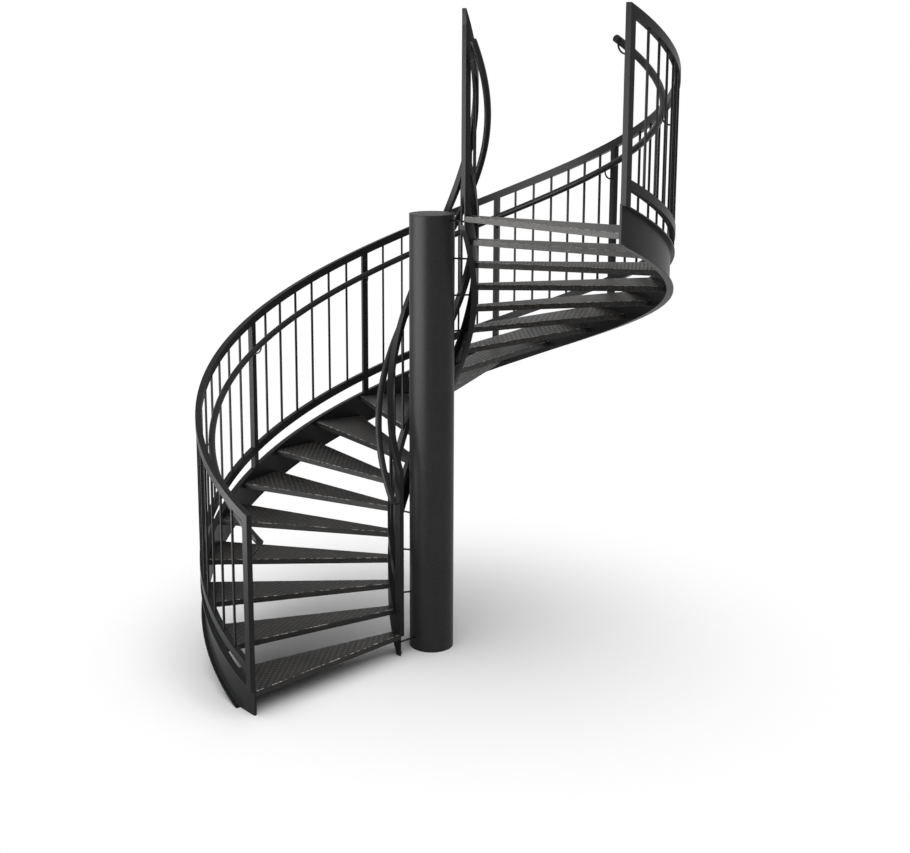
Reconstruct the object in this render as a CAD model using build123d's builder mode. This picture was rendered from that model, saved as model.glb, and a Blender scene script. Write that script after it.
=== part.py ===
"""Steel spiral staircase: column, two curved stringers, folded treads and helical railings.

The origin is the centre of the column on the floor and +Z is up. The first nosing
lies along -X and the flight climbs clockwise, seen from above, to the -Y axis.
"""

from build123d import *
import math
import os

os.makedirs("parts", exist_ok=True)

# The flight: every nosing lies on one helical line
riser = 170.0
tread_count = 19
flight_turn = 270.0
tread_turn = flight_turn / tread_count
rise_per_turn = riser * 360.0 / tread_turn
entry_angle = 180.0

# Column, a capped round pipe tied to the inner stringer
column_radius = 161.95
column_wall = 8.0
column_height = 3226.0
cap_thickness = 8.0
base_thickness = 12.0

# Tie rods, placed by how many treads of the flight lie below each one
tie_radius = 6.5
tie_drop = 112.0
foot_ties = (0.25, 2.17, 3.94)
lowest_even_tie = 5.48
highest_tie = 18.4
even_ties = 9
tie_clearance = 0.2

# Stringers, channels rolled on edge with their webs against the treads
inner_face_radius = 323.0
outer_face_radius = 1642.0
outer_web = 18.0
inner_web = 12.0
outer_channel_width = 47.0
inner_channel_width = 43.0
flange_thickness = 11.0
outer_stringer_top = 13.0
outer_stringer_bottom = -251.0
inner_stringer_top = 6.0
inner_stringer_bottom = -260.0

# Treads, plates folded down along the nosing and the back edge
tread_plate = 6.0
tread_lip = 40.0

# Railings, standing on the top flange of each stringer
rail_width = 42.0
rail_top = 1227.0
end_post_length = 50.0
post_length = 45.0
post_clearance = 0.1
baluster_size = 15.0
outer_rail_setback = 5.0
outer_rail_height = 58.0
inner_rail_height = 44.0
outer_bottom_rail_top = 180.0
inner_bottom_rail_top = 350.0

# Along the outer railing the uprights stand at one pitch, every seventh of them a post
outer_bays = 7
outer_gaps_per_bay = 7
first_upright = 1.43
upright_pitch = 5.432

# The inner railing has one post halfway and evenly spaced balusters in its two bays
inner_bays = 2
inner_gaps_per_bay = 6

# Round handrails on the stair side of each railing; round bars are drawn with six sides
handrail_radius = 24.15
handrail_height = 1015.0
outer_handrail_line = 1578.0
inner_handrail_line = 385.0
bracket_radius = 6.0
bracket_drop = 84.0
bracket_bend = 60.0
round_sides = 6


def nosing_height(climbed):
    """Height of the nosing line after turning through an angle from the first nosing."""
    return riser * (1.0 + climbed / tread_turn)


def slope_at(radius):
    """Steepness of the nosing line, in radians, at one radius."""
    return math.atan(rise_per_turn / (2.0 * math.pi * radius))


def radial_plane(climbed):
    """Upright plane through the column's axis: x is the radius, y the height above the nosings."""
    angle = math.radians(entry_angle - climbed)
    outward = (math.cos(angle), math.sin(angle), 0)
    uphill = (math.sin(angle), -math.cos(angle), 0)
    return Plane(origin=(0, 0, nosing_height(climbed)), x_dir=outward, z_dir=uphill)


def flight_plane(climbed, radius, height):
    """Plane that slopes with the flight at one radius and one height above the nosings."""
    upright = radial_plane(climbed)
    slope = slope_at(radius)
    return Plane(
        origin=upright.from_local_coords((radius, height)),
        x_dir=upright.x_dir,
        z_dir=upright.y_dir * math.cos(slope) - upright.z_dir * math.sin(slope),
    )


def twist_below(radius, half_width):
    """How far a helical surface dips below its flight plane within a square around one point."""
    spread = math.tan(slope_at(radius - half_width)) - math.tan(slope_at(radius + half_width))
    return half_width * spread / 2.0


def level_plane(climbed, height):
    """Level plane whose x axis points out from the column at an angle along the flight."""
    angle = math.radians(entry_angle - climbed)
    return Plane(origin=(0, 0, height), x_dir=(math.cos(angle), math.sin(angle), 0), z_dir=(0, 0, 1))


def flight_line(radius, height, start, end):
    """Helical line at one radius and one height above the nosings, between two angles."""
    with BuildLine() as line:
        Helix(
            rise_per_turn,
            rise_per_turn * (end - start) / 360.0,
            radius,
            center=(0, 0, nosing_height(start) + height),
            lefthand=True,
        )
    return line.line.rotate(Axis.Z, entry_angle - start)


def climbing_bar(inner, outer, bottom, top, start, end):
    """Bar between two radii and two heights above the nosings that follows the flight."""
    middle_radius = (inner + outer) / 2.0
    middle_height = (bottom + top) / 2.0
    with BuildPart() as bar:
        with BuildSketch(radial_plane(start)):
            with Locations((middle_radius, middle_height)):
                Rectangle(outer - inner, top - bottom)
        sweep(path=flight_line(middle_radius, middle_height, start, end), is_frenet=True)
    return bar.part


def climbing_channel(face, web_back, edge, bottom, top):
    """Channel that follows the whole flight: a web from face to web_back, and flanges out to edge."""
    flange = flange_thickness / math.cos(slope_at((web_back + edge) / 2.0))
    with BuildPart() as channel:
        with BuildSketch(radial_plane(0)):
            Polygon(
                (face, bottom),
                (edge, bottom),
                (edge, bottom + flange),
                (web_back, bottom + flange),
                (web_back, top - flange),
                (edge, top - flange),
                (edge, top),
                (face, top),
                align=None,
            )
        guide = flight_line((face + web_back) / 2.0, (bottom + top) / 2.0, 0, flight_turn)
        sweep(path=guide, is_frenet=True)
        split(bisect_by=Plane.XY, keep=Keep.TOP)
    return channel.part


def save(piece, name):
    piece.label = name
    export_step(piece, f"parts/{name}.step")


# Column: the pipe, its flat cap and the six-sided anchor plate inside its foot
with BuildPart() as column_tube:
    with BuildSketch(Plane.XY):
        Circle(column_radius)
        Circle(column_radius - column_wall, mode=Mode.SUBTRACT)
    extrude(amount=column_height - cap_thickness)
save(column_tube.part, "column_tube")

with BuildPart() as column_cap:
    with BuildSketch(Plane.XY.offset(column_height - cap_thickness)):
        Circle(column_radius)
    extrude(amount=cap_thickness)
save(column_cap.part, "column_cap")

with BuildPart() as column_base_plate:
    with BuildSketch(Plane.XY):
        RegularPolygon(column_radius - column_wall, round_sides)
    extrude(amount=base_thickness)
save(column_base_plate.part, "column_base_plate")

# Outer stringer: the web faces the treads and both flanges point outward; its foot is cut level
outer_stringer = climbing_channel(
    outer_face_radius,
    outer_face_radius + outer_web,
    outer_face_radius + outer_channel_width,
    outer_stringer_bottom,
    outer_stringer_top,
)
save(outer_stringer, "outer_stringer")

# Inner stringer: the same form with its flanges toward the column
inner_web_back = inner_face_radius - inner_web
inner_stringer = climbing_channel(
    inner_face_radius,
    inner_web_back,
    inner_face_radius - inner_channel_width,
    inner_stringer_bottom,
    inner_stringer_top,
)
save(inner_stringer, "inner_stringer")

# Tie rods: thin bars from the column to the web of the inner stringer
tie_step = (highest_tie - lowest_even_tie) / (even_ties - 1)
tie_places = list(foot_ties) + [lowest_even_tie + tie_step * count for count in range(even_ties)]
with BuildPart() as tie_rods:
    for place in tie_places:
        tie_plane = radial_plane(place * tread_turn)
        with BuildSketch(Plane(
            origin=tie_plane.from_local_coords((column_radius, -tie_drop)),
            x_dir=tie_plane.z_dir,
            z_dir=tie_plane.x_dir,
        )):
            RegularPolygon(tie_radius, round_sides)
        extrude(amount=inner_web_back - tie_clearance - column_radius)
save(tie_rods.part, "tie_rods")

# Treads: wedge-shaped plates between the webs, folded down along both radial edges
half_turn = math.radians(tread_turn / 2.0)
fold = tread_plate / math.cos(half_turn)
for number in range(1, tread_count + 1):
    middle = (number - 0.5) * tread_turn
    tread_top = riser * number
    with BuildPart() as tread:
        with BuildSketch(level_plane(middle, tread_top)):
            with BuildLine():
                for side in (-1, 1):
                    PolarLine(
                        (inner_face_radius * math.cos(half_turn), side * inner_face_radius * math.sin(half_turn)),
                        outer_face_radius - inner_face_radius,
                        side * tread_turn / 2.0,
                    )
                for radius in (inner_face_radius, outer_face_radius):
                    CenterArc((0, 0), radius, -tread_turn / 2.0, tread_turn)
            make_face()
        extrude(amount=-tread_lip)
        near = inner_face_radius / 2.0
        far = outer_face_radius * 1.1
        with BuildSketch(level_plane(middle, tread_top - tread_plate)):
            Polygon(
                (near, near * math.tan(half_turn) - fold),
                (far, far * math.tan(half_turn) - fold),
                (far, fold - far * math.tan(half_turn)),
                (near, fold - near * math.tan(half_turn)),
                align=None,
            )
        extrude(amount=-tread_lip, mode=Mode.SUBTRACT)
    save(tread.part, f"tread_{number:02d}")


def baluster(place, radius, foot, head):
    """Square bar whose head is cut to the slope of the rail above it."""
    with BuildPart() as bar:
        with BuildSketch(level_plane(place, nosing_height(place) + foot)):
            with Locations((radius, 0)):
                Rectangle(baluster_size, baluster_size)
        spare = baluster_size * math.tan(slope_at(radius))
        extrude(amount=head - foot + spare)
        head_height = head - twist_below(radius, baluster_size / 2.0)
        split(bisect_by=flight_plane(place, radius, head_height), keep=Keep.BOTTOM)
    return bar.part


def mitre_plane(radius, corner, knee, underside):
    """Plane of the joint between a post and the top rail, from its outer corner down to its knee."""
    corner_point = Vector(radial_plane(corner).from_local_coords((radius, rail_top)))
    knee_point = Vector(radial_plane(knee).from_local_coords((radius, underside)))
    outward = radial_plane(corner).x_dir
    across = outward.cross(knee_point - corner_point)
    upward = across if across.Z > 0 else -across
    return Plane(origin=corner_point, x_dir=outward, z_dir=upward)


def railing(side, inner, outer, stringer_top, rail_height, bottom_rail_top, post_places, bar_places, mitred):
    """Posts, a top rail and, for each bay, a panel of bottom rail and bars; end corners may be mitred."""
    middle_radius = (inner + outer) / 2.0
    end_turn = math.degrees(end_post_length / middle_radius)
    half_post = math.degrees(post_length / middle_radius) / 2.0
    rail_depth = rail_height / math.cos(slope_at(middle_radius))
    underside = rail_top - rail_depth

    post_spans = [(0.0, end_turn)]
    post_spans += [(place - half_post, place + half_post) for place in post_places]
    post_spans += [(flight_turn - end_turn, flight_turn)]

    # A mitred end corner is one block, shared between rail and post along the mitre
    corners = []
    rail_span = (0.0, flight_turn)
    if mitred:
        rail_span = (end_turn, flight_turn - end_turn)
        for corner, knee in ((0.0, end_turn), (flight_turn, flight_turn - end_turn)):
            block = climbing_bar(inner, outer, underside, rail_top, min(corner, knee), max(corner, knee))
            corners.append((block, mitre_plane(middle_radius, corner, knee, underside)))

    with BuildPart() as top_rail:
        add(climbing_bar(inner, outer, underside, rail_top, *rail_span))
        for block, joint in corners:
            add(block.split(joint, keep=Keep.TOP))
    save(top_rail.part, f"{side}_top_rail")

    with BuildPart() as posts:
        for span in post_spans:
            clearance = 0.0 if mitred and span in (post_spans[0], post_spans[-1]) else post_clearance
            add(climbing_bar(inner, outer, stringer_top, underside - clearance, *span))
        for block, joint in corners:
            add(block.split(joint, keep=Keep.BOTTOM))
    save(posts.part, f"{side}_posts")

    for bay in range(len(post_spans) - 1):
        start = post_spans[bay][1]
        end = post_spans[bay + 1][0]
        with BuildPart() as panel:
            add(climbing_bar(inner, outer, bottom_rail_top - rail_depth, bottom_rail_top, start, end))
            for place in bar_places:
                if start < place < end:
                    add(baluster(place, middle_radius, bottom_rail_top - rail_depth / 2.0, underside))
        save(panel.part, f"{side}_panel_{bay + 1}")
    return [(start + end) / 2.0 for start, end in post_spans]


def handrail(side, radius, post_face, bracket_places):
    """A handrail beside the railing, on bent rods that rise to it from the faces of the posts."""
    guide = flight_line(radius, handrail_height, 0, flight_turn)
    with BuildPart() as rail:
        with BuildSketch(Plane(origin=guide @ 0, x_dir=radial_plane(0).x_dir, z_dir=guide % 0)):
            RegularPolygon(handrail_radius, round_sides, rotation=180.0 / round_sides - 90.0)
        sweep(path=guide, is_frenet=True)
    save(rail.part, f"{side}_handrail")

    # Each rod runs on into the rail, which cuts its head to the shape of the rail's underside
    foot_height = handrail_height - bracket_drop
    foot_radius = math.sqrt(post_face**2 - bracket_radius**2) if radius < post_face else post_face
    with BuildPart() as brackets:
        for place in bracket_places:
            with BuildLine(radial_plane(place)) as bend:
                FilletPolyline(
                    (foot_radius, foot_height),
                    (radius, foot_height),
                    (radius, handrail_height - handrail_radius / 2.0),
                    radius=bracket_bend,
                )
            with BuildSketch(Plane(origin=bend.line @ 0, z_dir=bend.line % 0)):
                RegularPolygon(bracket_radius, round_sides)
            sweep(path=bend.line)
        add(rail.part, mode=Mode.SUBTRACT)
    save(brackets.part, f"{side}_handrail_brackets")


# Outer railing
outer_uprights = [first_upright + upright_pitch * count for count in range(outer_bays * outer_gaps_per_bay)]
outer_rail_face = outer_face_radius + outer_rail_setback
outer_post_places = railing(
    "outer",
    outer_rail_face,
    outer_rail_face + rail_width,
    outer_stringer_top,
    outer_rail_height,
    outer_bottom_rail_top,
    outer_uprights[outer_gaps_per_bay::outer_gaps_per_bay],
    [place for count, place in enumerate(outer_uprights) if count % outer_gaps_per_bay],
    mitred=True,
)

handrail("outer", outer_handrail_line, outer_rail_face, outer_post_places)

# Inner railing: the balusters of each bay divide the space between the posts into equal steps
inner_rail_middle = inner_face_radius - rail_width / 2.0
inner_half_post = math.degrees(post_length / inner_rail_middle) / 2.0
inner_first = math.degrees(end_post_length / inner_rail_middle)
inner_step = (flight_turn / inner_bays - inner_half_post - inner_first) / inner_gaps_per_bay
inner_lower_bars = [inner_first + inner_step * count for count in range(1, inner_gaps_per_bay)]
inner_upper_bars = [flight_turn - place for place in reversed(inner_lower_bars)]
inner_post_places = railing(
    "inner",
    inner_face_radius - rail_width,
    inner_face_radius,
    inner_stringer_top,
    inner_rail_height,
    inner_bottom_rail_top,
    [flight_turn / inner_bays],
    inner_lower_bars + inner_upper_bars,
    mitred=False,
)
handrail("inner", inner_handrail_line, inner_face_radius, inner_post_places)
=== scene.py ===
import bpy
import bmesh
import math
from mathutils import Matrix, Vector


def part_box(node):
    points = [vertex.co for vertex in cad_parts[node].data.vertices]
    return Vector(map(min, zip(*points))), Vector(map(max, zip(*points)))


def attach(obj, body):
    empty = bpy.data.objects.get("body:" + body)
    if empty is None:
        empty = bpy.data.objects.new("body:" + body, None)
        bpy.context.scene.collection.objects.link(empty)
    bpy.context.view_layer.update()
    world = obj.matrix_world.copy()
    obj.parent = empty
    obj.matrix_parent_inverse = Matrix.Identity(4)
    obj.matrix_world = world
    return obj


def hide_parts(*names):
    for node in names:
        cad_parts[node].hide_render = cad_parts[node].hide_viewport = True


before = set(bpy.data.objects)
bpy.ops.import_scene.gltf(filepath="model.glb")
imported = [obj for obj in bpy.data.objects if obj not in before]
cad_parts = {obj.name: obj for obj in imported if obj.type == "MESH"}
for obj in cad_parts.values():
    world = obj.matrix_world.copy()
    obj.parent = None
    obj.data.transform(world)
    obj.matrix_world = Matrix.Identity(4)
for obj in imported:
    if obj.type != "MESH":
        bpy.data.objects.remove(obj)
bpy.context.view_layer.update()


# Column. A round steel pipe that stands on the floor and is closed by a flat cap, sprayed with one
# coat of dark grey paint whose dried grain shows as a fine mottle. Its anchor plate is inside its foot.
def painted_steel(name, colour, roughness, grain):
    """Sprayed paint on steel: soft clouds of tone, a fine mottle and the grain of the dried coat."""
    material = bpy.data.materials.new(name)
    material.use_nodes = True
    tree = material.node_tree
    shader = tree.nodes["Principled BSDF"]
    shader.inputs["Specular IOR Level"].default_value = 0.085
    place = tree.nodes.new("ShaderNodeTexCoord").outputs["Object"]
    clouds = tree.nodes.new("ShaderNodeTexNoise")
    clouds.inputs["Scale"].default_value = 2.3
    clouds.inputs["Detail"].default_value = 3.0
    mottle = tree.nodes.new("ShaderNodeTexNoise")
    mottle.inputs["Scale"].default_value = 48.0
    mottle.inputs["Detail"].default_value = 4.0
    tree.links.new(place, clouds.inputs["Vector"])
    tree.links.new(place, mottle.inputs["Vector"])
    both = tree.nodes.new("ShaderNodeMath")
    both.operation = "ADD"
    tree.links.new(clouds.outputs["Fac"], both.inputs[0])
    tree.links.new(mottle.outputs["Fac"], both.inputs[1])
    tone = tree.nodes.new("ShaderNodeMapRange")
    tone.inputs["From Min"].default_value = 0.7
    tone.inputs["From Max"].default_value = 1.3
    tree.links.new(both.outputs[0], tone.inputs["Value"])
    shades = tree.nodes.new("ShaderNodeMix")
    shades.data_type = "RGBA"
    darker = 0.87
    paler = 1.13
    shades.inputs["A"].default_value = (*[darker * level for level in colour], 1.0)
    shades.inputs["B"].default_value = (*[paler * level for level in colour], 1.0)
    tree.links.new(tone.outputs["Result"], shades.inputs["Factor"])
    tree.links.new(shades.outputs["Result"], shader.inputs["Base Color"])
    gloss = tree.nodes.new("ShaderNodeMapRange")
    gloss.inputs["To Min"].default_value = roughness - 0.06
    gloss.inputs["To Max"].default_value = roughness + 0.06
    tree.links.new(mottle.outputs["Fac"], gloss.inputs["Value"])
    tree.links.new(gloss.outputs["Result"], shader.inputs["Roughness"])
    peel = tree.nodes.new("ShaderNodeTexNoise")
    peel.inputs["Scale"].default_value = 260.0
    peel.inputs["Detail"].default_value = 1.0
    tree.links.new(place, peel.inputs["Vector"])
    bump = tree.nodes.new("ShaderNodeBump")
    bump.inputs["Strength"].default_value = grain
    bump.inputs["Distance"].default_value = 0.0008
    tree.links.new(peel.outputs["Fac"], bump.inputs["Height"])
    tree.links.new(bump.outputs["Normal"], shader.inputs["Normal"])
    return material


def smooth_curves():
    """Node group that joins loose triangles and shades everything smoothly but the real corners."""
    group = bpy.data.node_groups.new("smooth_curves", "GeometryNodeTree")
    group.interface.new_socket("Geometry", in_out="INPUT", socket_type="NodeSocketGeometry")
    group.interface.new_socket("Geometry", in_out="OUTPUT", socket_type="NodeSocketGeometry")
    entry = group.nodes.new("NodeGroupInput")
    joined = group.nodes.new("GeometryNodeMergeByDistance")
    joined.inputs["Distance"].default_value = 0.00005
    faces = group.nodes.new("GeometryNodeSetShadeSmooth")
    corners = group.nodes.new("GeometryNodeSetShadeSmooth")
    corners.domain = "EDGE"
    corners.inputs["Shade Smooth"].default_value = False
    turn = group.nodes.new("GeometryNodeInputMeshEdgeAngle")
    sharp = group.nodes.new("FunctionNodeCompare")
    sharp.inputs["B"].default_value = math.radians(28.0)
    leave = group.nodes.new("NodeGroupOutput")
    group.links.new(entry.outputs["Geometry"], joined.inputs["Geometry"])
    group.links.new(joined.outputs["Geometry"], faces.inputs["Geometry"])
    group.links.new(faces.outputs["Geometry"], corners.inputs["Geometry"])
    group.links.new(turn.outputs["Unsigned Angle"], sharp.inputs["A"])
    group.links.new(sharp.outputs["Result"], corners.inputs["Selection"])
    group.links.new(corners.outputs["Geometry"], leave.inputs["Geometry"])
    return group


curve_smoother = smooth_curves()


def finish_node(node, material, edge):
    """Paint a node, shade its curves smoothly and round its corners to the given radius."""
    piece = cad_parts[node]
    piece.data.materials.clear()
    piece.data.materials.append(material)
    piece.modifiers.new("smooth_curves", "NODES").node_group = curve_smoother
    bevel = piece.modifiers.new("rounded_edges", "BEVEL")
    bevel.width = edge
    bevel.segments = 2
    bevel.limit_method = "ANGLE"
    bevel.angle_limit = math.radians(40.0)
    bevel.harden_normals = True


column_paint = painted_steel("column_paint", (0.028, 0.028, 0.0282), 0.41, 0.2)
dull_paint = painted_steel("dull_paint", (0.036, 0.036, 0.037), 0.52, 0.2)
column_edge = 0.0015
finish_node("column_tube", column_paint, column_edge)
finish_node("column_base_plate", column_paint, column_edge)
finish_node("column_cap", dull_paint, column_edge)


# Stringers. Heavy channels rolled on edge, their webs against the treads and their flanges turned away
# from them, in a darker coat than the column. Rolling and blast cleaning leave their corners rounded.
frame_paint = painted_steel("frame_paint", (0.0135, 0.0139, 0.0144), 0.38, 0.12)
stringer_edge = 0.002
for node in ("outer_stringer", "inner_stringer"):
    finish_node(node, frame_paint, stringer_edge)


# Tie rods. Round bars, 13 mm thick, welded between the column and the web of the inner stringer, one
# about every tread and a half. They are painted with the frame.
flight_turn = math.radians(270.0)
first_direction = math.pi
tread_nodes = sorted(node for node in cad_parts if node.startswith("tread_"))
tread_turn = flight_turn / len(tread_nodes)
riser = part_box("tread_02")[1].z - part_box("tread_01")[1].z
rise_per_radian = riser / tread_turn


def outward_at(climbed):
    """Level direction away from the column after turning through an angle up the flight."""
    return Vector((math.cos(first_direction - climbed), math.sin(first_direction - climbed), 0.0))


def add_piece(mesh, name, material):
    """Turn a finished bmesh into a piece that rides with the staircase."""
    data = bpy.data.meshes.new(name)
    mesh.to_mesh(data)
    mesh.free()
    data.materials.append(material)
    piece = bpy.data.objects.new(name, data)
    bpy.context.scene.collection.objects.link(piece)
    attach(piece, "root")
    return piece


rod_radius = 0.0065
rod_drop = 0.112
rod_places = [0.25, 2.17, 3.94] + [5.48 + 1.615 * count for count in range(9)]
column_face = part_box("column_tube")[1].x
inner_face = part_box("inner_stringer")[1].x
inner_web = 0.012
rod_overlap = 0.001
rod_in_web = 0.0005
rod_inner = column_face - rod_overlap
rod_outer = inner_face - inner_web + rod_in_web
rods = bmesh.new()
for place in rod_places:
    climbed = place * tread_turn
    outward = outward_at(climbed)
    height = riser * (1.0 + place) - rod_drop
    middle = outward * (rod_inner + rod_outer) / 2.0 + Vector((0.0, 0.0, height))
    turned = outward.to_track_quat("Z", "Y").to_matrix().to_4x4()
    bmesh.ops.create_cone(
        rods,
        cap_ends=True,
        segments=16,
        radius1=rod_radius,
        radius2=rod_radius,
        depth=rod_outer - rod_inner,
        matrix=Matrix.Translation(middle) @ turned,
    )
for face in rods.faces:
    face.smooth = len(face.verts) == 4
round_rods = add_piece(rods, "tie_rods_round", frame_paint)
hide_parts("tie_rods")


# Treads. Wedge-shaped plates of tear-pattern floor plate, folded down along the nosing and the back,
# painted a brownish dark grey. Feet have worn the folded edges to bare, pale metal in patches.
def tread_finish(name, clean, dusty, bare_dark, bare_light):
    """Dark brownish paint with dull patches, worn through along the top of both radial edges."""
    material = bpy.data.materials.new(name)
    material.use_nodes = True
    tree = material.node_tree
    shader = tree.nodes["Principled BSDF"]
    shader.inputs["Specular IOR Level"].default_value = 0.2
    place = tree.nodes.new("ShaderNodeTexCoord").outputs["Object"]

    def calculate(operation, *values):
        node = tree.nodes.new("ShaderNodeMath")
        node.operation = operation
        for socket, value in zip(node.inputs, values):
            if isinstance(value, (int, float)):
                socket.default_value = value
            else:
                tree.links.new(value, socket)
        return node.outputs[0]

    def noise(scale, detail):
        node = tree.nodes.new("ShaderNodeTexNoise")
        node.inputs["Scale"].default_value = scale
        node.inputs["Detail"].default_value = detail
        node.inputs["Roughness"].default_value = 0.6
        tree.links.new(place, node.inputs["Vector"])
        return node.outputs["Fac"]

    def rise_between(value, low, high):
        node = tree.nodes.new("ShaderNodeMapRange")
        node.interpolation_type = "SMOOTHSTEP"
        node.inputs["From Min"].default_value = low
        node.inputs["From Max"].default_value = high
        tree.links.new(value, node.inputs["Value"])
        return node.outputs["Result"]

    def blend(factor, first, second):
        node = tree.nodes.new("ShaderNodeMix")
        node.data_type = "RGBA"
        for socket, value in ((node.inputs["A"], first), (node.inputs["B"], second)):
            if isinstance(value, tuple):
                socket.default_value = (*value, 1.0)
            else:
                tree.links.new(value, socket)
        tree.links.new(factor, node.inputs["Factor"])
        return node.outputs["Result"]

    # How far along its own tread each point is: 0 at the nosing, 1 at the back edge. The turn is counted
    # from a little before the first nosing, and the height from a little above each tread's plate.
    before_first = 0.2
    above_plate = 0.004
    axes = tree.nodes.new("ShaderNodeSeparateXYZ")
    tree.links.new(place, axes.inputs[0])
    heading = calculate("ARCTAN2", axes.outputs["Y"], axes.outputs["X"])
    turned = calculate("SUBTRACT", first_direction + 2.0 * math.pi + before_first, heading)
    climbed = calculate("SUBTRACT", calculate("MODULO", turned, 2.0 * math.pi), before_first)
    steps_up = calculate("DIVIDE", calculate("SUBTRACT", axes.outputs["Z"], above_plate), riser)
    along = calculate("SUBTRACT", calculate("DIVIDE", climbed, tread_turn), calculate("FLOOR", steps_up))
    to_back = calculate("ABSOLUTE", calculate("SUBTRACT", 1.0, along))
    nearer = calculate("MINIMUM", calculate("ABSOLUTE", along), to_back)

    # Distance from the nearer fold, inward on top and downward on a lip, where wear reaches a third as far
    square_x = calculate("MULTIPLY", axes.outputs["X"], axes.outputs["X"])
    square_y = calculate("MULTIPLY", axes.outputs["Y"], axes.outputs["Y"])
    distance = calculate("SQRT", calculate("ADD", square_x, square_y))
    inward = calculate("MULTIPLY", calculate("MULTIPLY", nearer, tread_turn), distance)
    to_next_step = calculate("MULTIPLY", calculate("SUBTRACT", 1.0, calculate("FRACT", steps_up)), riser)
    below_top = calculate("SUBTRACT", to_next_step, above_plate)
    from_corner = calculate("ADD", inward, calculate("MULTIPLY", below_top, 3.0))

    # Bare metal: a ragged rim at the corner that comes and goes along it
    ragged = calculate("MULTIPLY", noise(85.0, 4.0), 0.02)
    rim = calculate("SUBTRACT", 1.0, rise_between(calculate("ADD", from_corner, ragged), 0.0125, 0.018))
    worn = calculate("MULTIPLY", rim, rise_between(noise(22.0, 5.0), 0.475, 0.565))

    # The back lip is mottled black and brown, from a ragged line just inside its corner
    past_corner = calculate("SUBTRACT", below_top, calculate("MULTIPLY", inward, 0.5))
    ragged_line = calculate("ADD", past_corner, calculate("MULTIPLY", ragged, 0.5))
    behind = calculate("GREATER_THAN", along, 0.5)
    on_back_lip = calculate("MULTIPLY", rise_between(ragged_line, 0.003, 0.0055), behind)
    blotches = rise_between(noise(60.0, 4.0), 0.44, 0.58)
    mottled = blend(blotches, (0.0035, 0.0032, 0.003), (0.029, 0.0245, 0.019))

    paint = blend(rise_between(noise(3.0, 4.0), 0.38, 0.64), clean, dusty)
    stained = blend(on_back_lip, paint, mottled)
    bare = blend(rise_between(noise(45.0, 3.0), 0.4, 0.65), bare_dark, bare_light)
    tree.links.new(blend(worn, stained, bare), shader.inputs["Base Color"])

    gloss = tree.nodes.new("ShaderNodeMapRange")
    gloss.inputs["To Min"].default_value = 0.34
    gloss.inputs["To Max"].default_value = 0.52
    tree.links.new(noise(24.0, 3.0), gloss.inputs["Value"])
    tree.links.new(gloss.outputs["Result"], shader.inputs["Roughness"])
    bump = tree.nodes.new("ShaderNodeBump")
    bump.inputs["Strength"].default_value = 0.2
    bump.inputs["Distance"].default_value = 0.0008
    tree.links.new(noise(230.0, 2.0), bump.inputs["Height"])
    tree.links.new(bump.outputs["Normal"], shader.inputs["Normal"])
    return material


bare_dark = (0.25, 0.23, 0.195)
bare_light = (0.6, 0.57, 0.51)
tread_clean = (0.0135, 0.0133, 0.013)
tread_dusty = (0.0235, 0.0208, 0.0178)
tread_paint = tread_finish("tread_paint", tread_clean, tread_dusty, bare_dark, bare_light)
fold_edge = 0.002
for node in tread_nodes:
    finish_node(node, tread_paint, fold_edge)

# The raised lozenges of the floor plate, rolled into it in two directions square to each other. Those of
# one direction are painted paler, as a painted highlight where their flanks would glint. The pattern
# follows the middle line of each wedge.
lozenge_length = 0.023
lozenge_width = 0.0085
lozenge_height = 0.0014
lozenge_pitch = 0.026
lozenge_flat = 0.62
lozenge_centre = 0.4 * lozenge_height
lozenge_slant = math.radians(45.0)
# The paler lozenge colours are a painted highlight, their tone varied at random as dust would vary it.
lozenge_highlight_clean = (0.078, 0.079, 0.08)
lozenge_highlight_dusty = (0.092, 0.083, 0.07)
lozenge_highlight_paint = tread_finish("lozenge_highlight_paint", lozenge_highlight_clean, lozenge_highlight_dusty, bare_dark, bare_light)
fold_margin = 0.018
web_margin = 0.02
outer_face = -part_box("tread_01")[0].x


def stamp_lozenge(mesh, middle, along, upward, coat):
    """One low lozenge, longer than wide, standing on a plate; coat 0 gives it the paler paint of the
    painted highlight, coat 1 the plain tread paint.
    """
    across = upward.cross(along)
    turned = Matrix((along, across, upward)).transposed().to_4x4()
    stretched = Matrix.Diagonal((lozenge_length / 2.0, lozenge_width / 2.0, lozenge_height, 1.0))
    stamped = bmesh.ops.create_cone(
        mesh,
        cap_ends=True,
        segments=8,
        radius1=1.0,
        radius2=lozenge_flat,
        depth=1.0,
        matrix=Matrix.Translation(middle + upward * lozenge_centre) @ turned @ stretched,
    )
    for corner in stamped["verts"]:
        for face in corner.link_faces:
            face.material_index = coat


upright = Vector((0.0, 0.0, 1.0))
for number, node in enumerate(tread_nodes):
    middle_turn = (number + 0.5) * tread_turn
    forward = outward_at(middle_turn)
    sideways = upright.cross(forward)
    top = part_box(node)[1].z
    lozenges = bmesh.new()
    columns = int(outer_face / lozenge_pitch) + 1
    rows = int(outer_face * math.sin(tread_turn / 2.0) / lozenge_pitch) + 1
    for column in range(columns):
        for row in range(-rows, rows + 1):
            far = column * lozenge_pitch
            aside = (row + 0.5) * lozenge_pitch
            distance = math.hypot(far, aside)
            from_fold = far * math.sin(tread_turn / 2.0) - abs(aside) * math.cos(tread_turn / 2.0)
            if from_fold < fold_margin or not inner_face + web_margin < distance < outer_face - web_margin:
                continue
            # Coat 0 takes the painted highlight, coat 1 the plain tread paint.
            coat = (column + row) % 2
            slant = lozenge_slant if coat == 0 else -lozenge_slant
            along = forward * math.cos(slant) + sideways * math.sin(slant)
            middle = forward * far + sideways * aside + upright * top
            stamp_lozenge(lozenges, middle, along, upright, coat)
    stamping = add_piece(lozenges, node + "_lozenges", lozenge_highlight_paint)
    stamping.data.materials.append(tread_paint)


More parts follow.
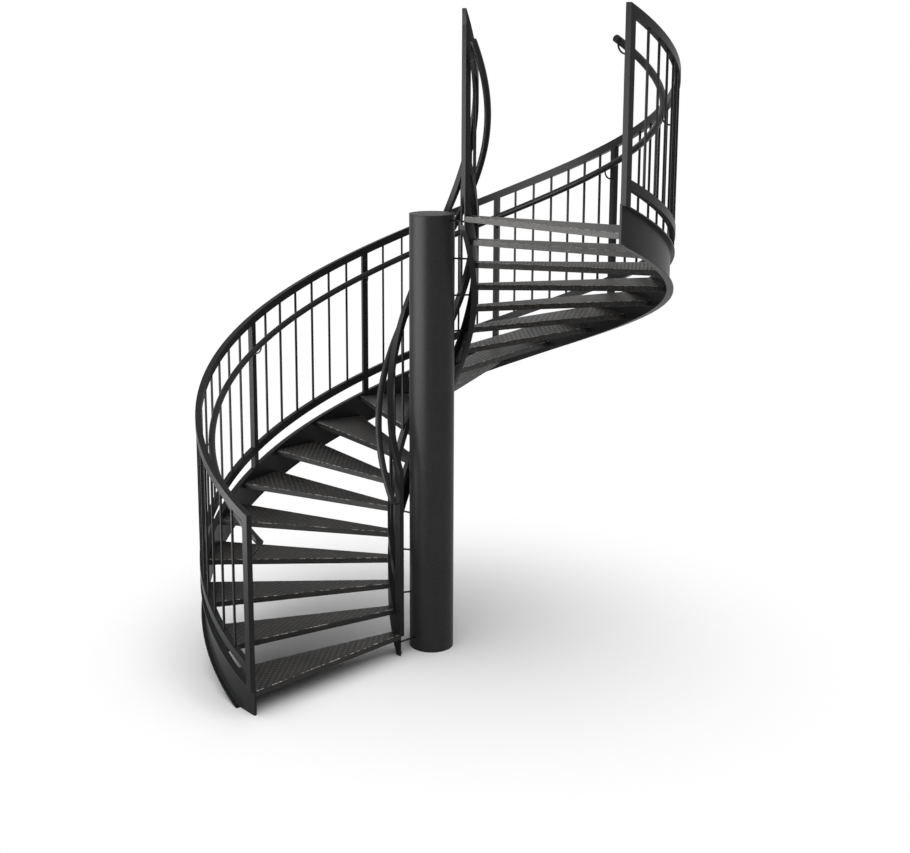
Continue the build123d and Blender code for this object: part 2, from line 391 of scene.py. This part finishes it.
# Railings. Welded frames of rectangular box section with square bars between them: the posts stand on
# the stringers, and the bars run from the bottom rail up to the underside of the top rail.
railing_nodes = [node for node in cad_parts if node.endswith("_posts") or "_panel_" in node]
railing_nodes += ["outer_top_rail", "inner_top_rail"]
section_edge = 0.002
for node in railing_nodes:
    finish_node(node, frame_paint, section_edge)


# Handrails. Round steel tube, 48 mm thick, bent to the flight beside each railing, with plugged ends.
# Every post carries it on a bent rod that is welded to the post and to the underside of the tube.
handrail_paint = painted_steel("handrail_paint", (0.0225, 0.023, 0.0236), 0.32, 0.12)
tube_radius = 0.02415
tube_height = 1.015
tube_sides = 24
tube_end_edge = 0.002
bracket_radius = 0.006
bracket_drop = 0.084
bracket_bend = 0.06
bracket_stub = 0.008


def helical_tube(mesh, radius, steps):
    """Closed round tube that follows the whole flight at one radius."""
    slope = math.atan(rise_per_radian / radius)
    start = outward_at(0.0) * radius + upright * (riser + tube_height)
    tilted = Matrix.Rotation(-slope, 4, outward_at(0.0)) @ Matrix.Rotation(math.radians(90.0), 4, "X")
    ring = bmesh.ops.create_circle(
        mesh,
        segments=tube_sides,
        radius=tube_radius,
        matrix=Matrix.Translation(start) @ tilted,
    )
    edges = list({edge for corner in ring["verts"] for edge in corner.link_edges})
    bmesh.ops.spin(
        mesh,
        geom=ring["verts"] + edges,
        cent=(0.0, 0.0, 0.0),
        axis=(0.0, 0.0, -1.0),
        dvec=(0.0, 0.0, rise_per_radian * flight_turn / steps),
        angle=flight_turn,
        space=Matrix.Identity(4),
        steps=steps,
    )
    ends = bmesh.ops.holes_fill(mesh, edges=[edge for edge in mesh.edges if edge.is_boundary])
    rims = list({edge for face in ends["faces"] for edge in face.edges})
    bmesh.ops.bevel(
        mesh,
        geom=rims,
        offset=tube_end_edge,
        offset_type="OFFSET",
        affect="EDGES",
        segments=2,
        profile=0.5,
        material=-1,
    )
    bmesh.ops.recalc_face_normals(mesh, faces=mesh.faces)
    for face in mesh.faces:
        face.smooth = len(face.verts) == 4


def draw_on(mesh, ring, along):
    """Draw a ring of edges on in a straight line and return the ring at its far end."""
    drawn = bmesh.ops.extrude_edge_only(mesh, edges=ring)
    corners = [item for item in drawn["geom"] if isinstance(item, bmesh.types.BMVert)]
    bmesh.ops.translate(mesh, verts=corners, vec=along)
    return [edge for edge in drawn["geom"] if isinstance(edge, bmesh.types.BMEdge)]


def bent_rod(mesh, climbed, post_face, tube_line):
    """Round rod that leaves a post level, turns up through a quarter bend and ends in the tube."""
    outward = outward_at(climbed)
    side = 1.0 if tube_line > post_face else -1.0
    root = post_face - side * rod_overlap
    height = riser + rise_per_radian * climbed + tube_height - bracket_drop
    start = outward * root + upright * height
    circle = bmesh.ops.create_circle(
        mesh,
        segments=12,
        radius=bracket_radius,
        matrix=Matrix.Translation(start) @ outward.to_track_quat("Z", "Y").to_matrix().to_4x4(),
    )
    first_ring = list({edge for corner in circle["verts"] for edge in corner.link_edges})
    level = outward * (tube_line - side * bracket_bend - root)
    knee_ring = draw_on(mesh, first_ring, level)
    bend = bmesh.ops.spin(
        mesh,
        geom=knee_ring,
        cent=start + level + upright * bracket_bend,
        axis=(outward * side).cross(upright),
        angle=math.radians(90.0),
        space=Matrix.Identity(4),
        steps=8,
    )
    head_ring = [item for item in bend["geom_last"] if isinstance(item, bmesh.types.BMEdge)]
    draw_on(mesh, head_ring, upright * bracket_stub)


end_post_half = 0.025
upright_first = math.radians(1.43)
upright_pitch = math.radians(5.432)
bay_turn = 7 * upright_pitch
outer_post_turns = [upright_first + bay_turn * count for count in range(1, 7)]
inner_post_turns = [flight_turn / 2.0]
outer_post_face = 1.647
outer_post_middle = 1.668
inner_post_face = 0.323
inner_post_middle = 0.302
outer_tube_steps = 180
inner_tube_steps = 120
railings = (
    ("outer", outer_post_turns, outer_post_face, outer_post_middle, outer_tube_steps),
    ("inner", inner_post_turns, inner_post_face, inner_post_middle, inner_tube_steps),
)
for side, middle_posts, post_face, post_middle, steps in railings:
    tube_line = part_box(f"{side}_handrail")[1].x - tube_radius
    tube = bmesh.new()
    helical_tube(tube, tube_line, steps)
    handrail = add_piece(tube, f"{side}_handrail_tube", handrail_paint)
    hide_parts(f"{side}_handrail")

    first_post = end_post_half / post_middle
    rods = bmesh.new()
    for climbed in [first_post] + middle_posts + [flight_turn - first_post]:
        bent_rod(rods, climbed, post_face, tube_line)
    bmesh.ops.holes_fill(rods, edges=[edge for edge in rods.edges if edge.is_boundary])
    bmesh.ops.recalc_face_normals(rods, faces=rods.faces)
    for face in rods.faces:
        face.smooth = len(face.verts) == 4
    brackets = add_piece(rods, f"{side}_handrail_rods", handrail_paint)
    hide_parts(f"{side}_handrail_brackets")


# The setting: a white floor that fades into the white surround a few metres out, so that no horizon shows.
# It is matt, keeps the staircase's soft shadow, and isn't part of the staircase.
view_heading = math.radians(45.487)
toward = Vector((math.cos(view_heading), math.sin(view_heading), 0.0))
rightward = Vector((math.sin(view_heading), -math.cos(view_heading), 0.0))

floor_radius = 40.0
fade_start = 1.6
fade_end = 3.6
floor_mesh = bmesh.new()
bmesh.ops.create_circle(floor_mesh, cap_ends=True, segments=96, radius=floor_radius)
floor_data = bpy.data.meshes.new("floor")
floor_mesh.to_mesh(floor_data)
floor_mesh.free()
floor = bpy.data.objects.new("floor", floor_data)
bpy.context.scene.collection.objects.link(floor)
floor_material = bpy.data.materials.new("floor_white")
floor_material.use_nodes = True
tree = floor_material.node_tree
floor_shader = tree.nodes["Principled BSDF"]
floor_shader.inputs["Roughness"].default_value = 1.0
floor_shader.inputs["Specular IOR Level"].default_value = 0.0
floor_shader.inputs["Base Color"].default_value = (0.93, 0.93, 0.93, 1.0)
floor_place = tree.nodes.new("ShaderNodeTexCoord")
floor_distance = tree.nodes.new("ShaderNodeVectorMath")
floor_distance.operation = "LENGTH"
tree.links.new(floor_place.outputs["Object"], floor_distance.inputs[0])
floor_fade = tree.nodes.new("ShaderNodeMapRange")
floor_fade.interpolation_type = "SMOOTHSTEP"
floor_fade.inputs["From Min"].default_value = fade_start
floor_fade.inputs["From Max"].default_value = fade_end
tree.links.new(floor_distance.outputs["Value"], floor_fade.inputs["Value"])
floor_white = tree.nodes.new("ShaderNodeEmission")
floor_mix = tree.nodes.new("ShaderNodeMixShader")
tree.links.new(floor_fade.outputs["Result"], floor_mix.inputs["Fac"])
tree.links.new(floor_shader.outputs["BSDF"], floor_mix.inputs[1])
tree.links.new(floor_white.outputs["Emission"], floor_mix.inputs[2])
tree.links.new(floor_mix.outputs["Shader"], tree.nodes["Material Output"].inputs["Surface"])
floor_data.materials.append(floor_material)

# One broad soft lamp stands at the left. It is seen only in the gloss of the steel, as a window would be:
# the plain light on the staircase and the floor comes from the surround alone.
lamp_width = 4.8
lamp_height = 4.4
lamp_radiance = 12.0
lamp_middle = 2.3 * upright
lamp_data = bpy.data.lights.new("left_lamp", "AREA")
lamp_data.shape = "RECTANGLE"
lamp_data.size = lamp_width
lamp_data.size_y = lamp_height
lamp_data.energy = lamp_radiance * lamp_width * lamp_height * math.pi
lamp = bpy.data.objects.new("left_lamp", lamp_data)
lamp.visible_diffuse = False
lamp.location = lamp_middle - 4.0 * rightward - 1.5 * toward
lamp.rotation_euler = (lamp_middle - lamp.location).to_track_quat("-Z", "Y").to_euler()
bpy.context.scene.collection.objects.link(lamp)

# The surround is white to look at and in the gloss, and lights the staircase as a dome that is brightest
# overhead.
world = bpy.data.worlds.new("surround")
bpy.context.scene.world = world
world.use_nodes = True
tree = world.node_tree
background = tree.nodes["Background"]
light_path = tree.nodes.new("ShaderNodeLightPath")
seen = tree.nodes.new("ShaderNodeMath")
seen.operation = "MAXIMUM"
tree.links.new(light_path.outputs["Is Camera Ray"], seen.inputs[0])
tree.links.new(light_path.outputs["Is Glossy Ray"], seen.inputs[1])
seen_all = tree.nodes.new("ShaderNodeMath")
seen_all.operation = "MAXIMUM"
tree.links.new(seen.outputs[0], seen_all.inputs[0])
tree.links.new(light_path.outputs["Is Transmission Ray"], seen_all.inputs[1])
direction = tree.nodes.new("ShaderNodeSeparateXYZ")
tree.links.new(tree.nodes.new("ShaderNodeTexCoord").outputs["Generated"], direction.inputs[0])
dome = tree.nodes.new("ShaderNodeMapRange")
dome.interpolation_type = "SMOOTHSTEP"
dome.inputs["From Min"].default_value = 0.3
dome.inputs["From Max"].default_value = 0.9
dome.inputs["To Min"].default_value = 0.03
dome.inputs["To Max"].default_value = 1.85
tree.links.new(direction.outputs["Z"], dome.inputs["Value"])
strength = tree.nodes.new("ShaderNodeMix")
strength.inputs["B"].default_value = 1.0
tree.links.new(seen_all.outputs[0], strength.inputs["Factor"])
tree.links.new(dome.outputs["Result"], strength.inputs["A"])
background.inputs["Color"].default_value = (1.0, 1.0, 1.0, 1.0)
tree.links.new(strength.outputs["Result"], background.inputs["Strength"])

# The camera stands 9.7 m out from the column's axis and 4.3 m above the floor, and looks 11 degrees down.
look_down = math.radians(10.942)
camera_data = bpy.data.cameras.new("camera")
camera_data.sensor_width = 36.0
camera_data.lens = 54.80
camera_data.shift_x = 0.0377
camera_data.shift_y = -0.1086
camera_data.clip_end = 200.0
camera = bpy.data.objects.new("camera", camera_data)
camera.location = (-6.8714, -6.8754, 4.2851)
camera.rotation_euler = (math.radians(90.0) - look_down, 0.0, view_heading - math.radians(90.0))
bpy.context.scene.collection.objects.link(camera)
bpy.context.scene.camera = camera
bpy.context.scene.view_settings.view_transform = "Standard"
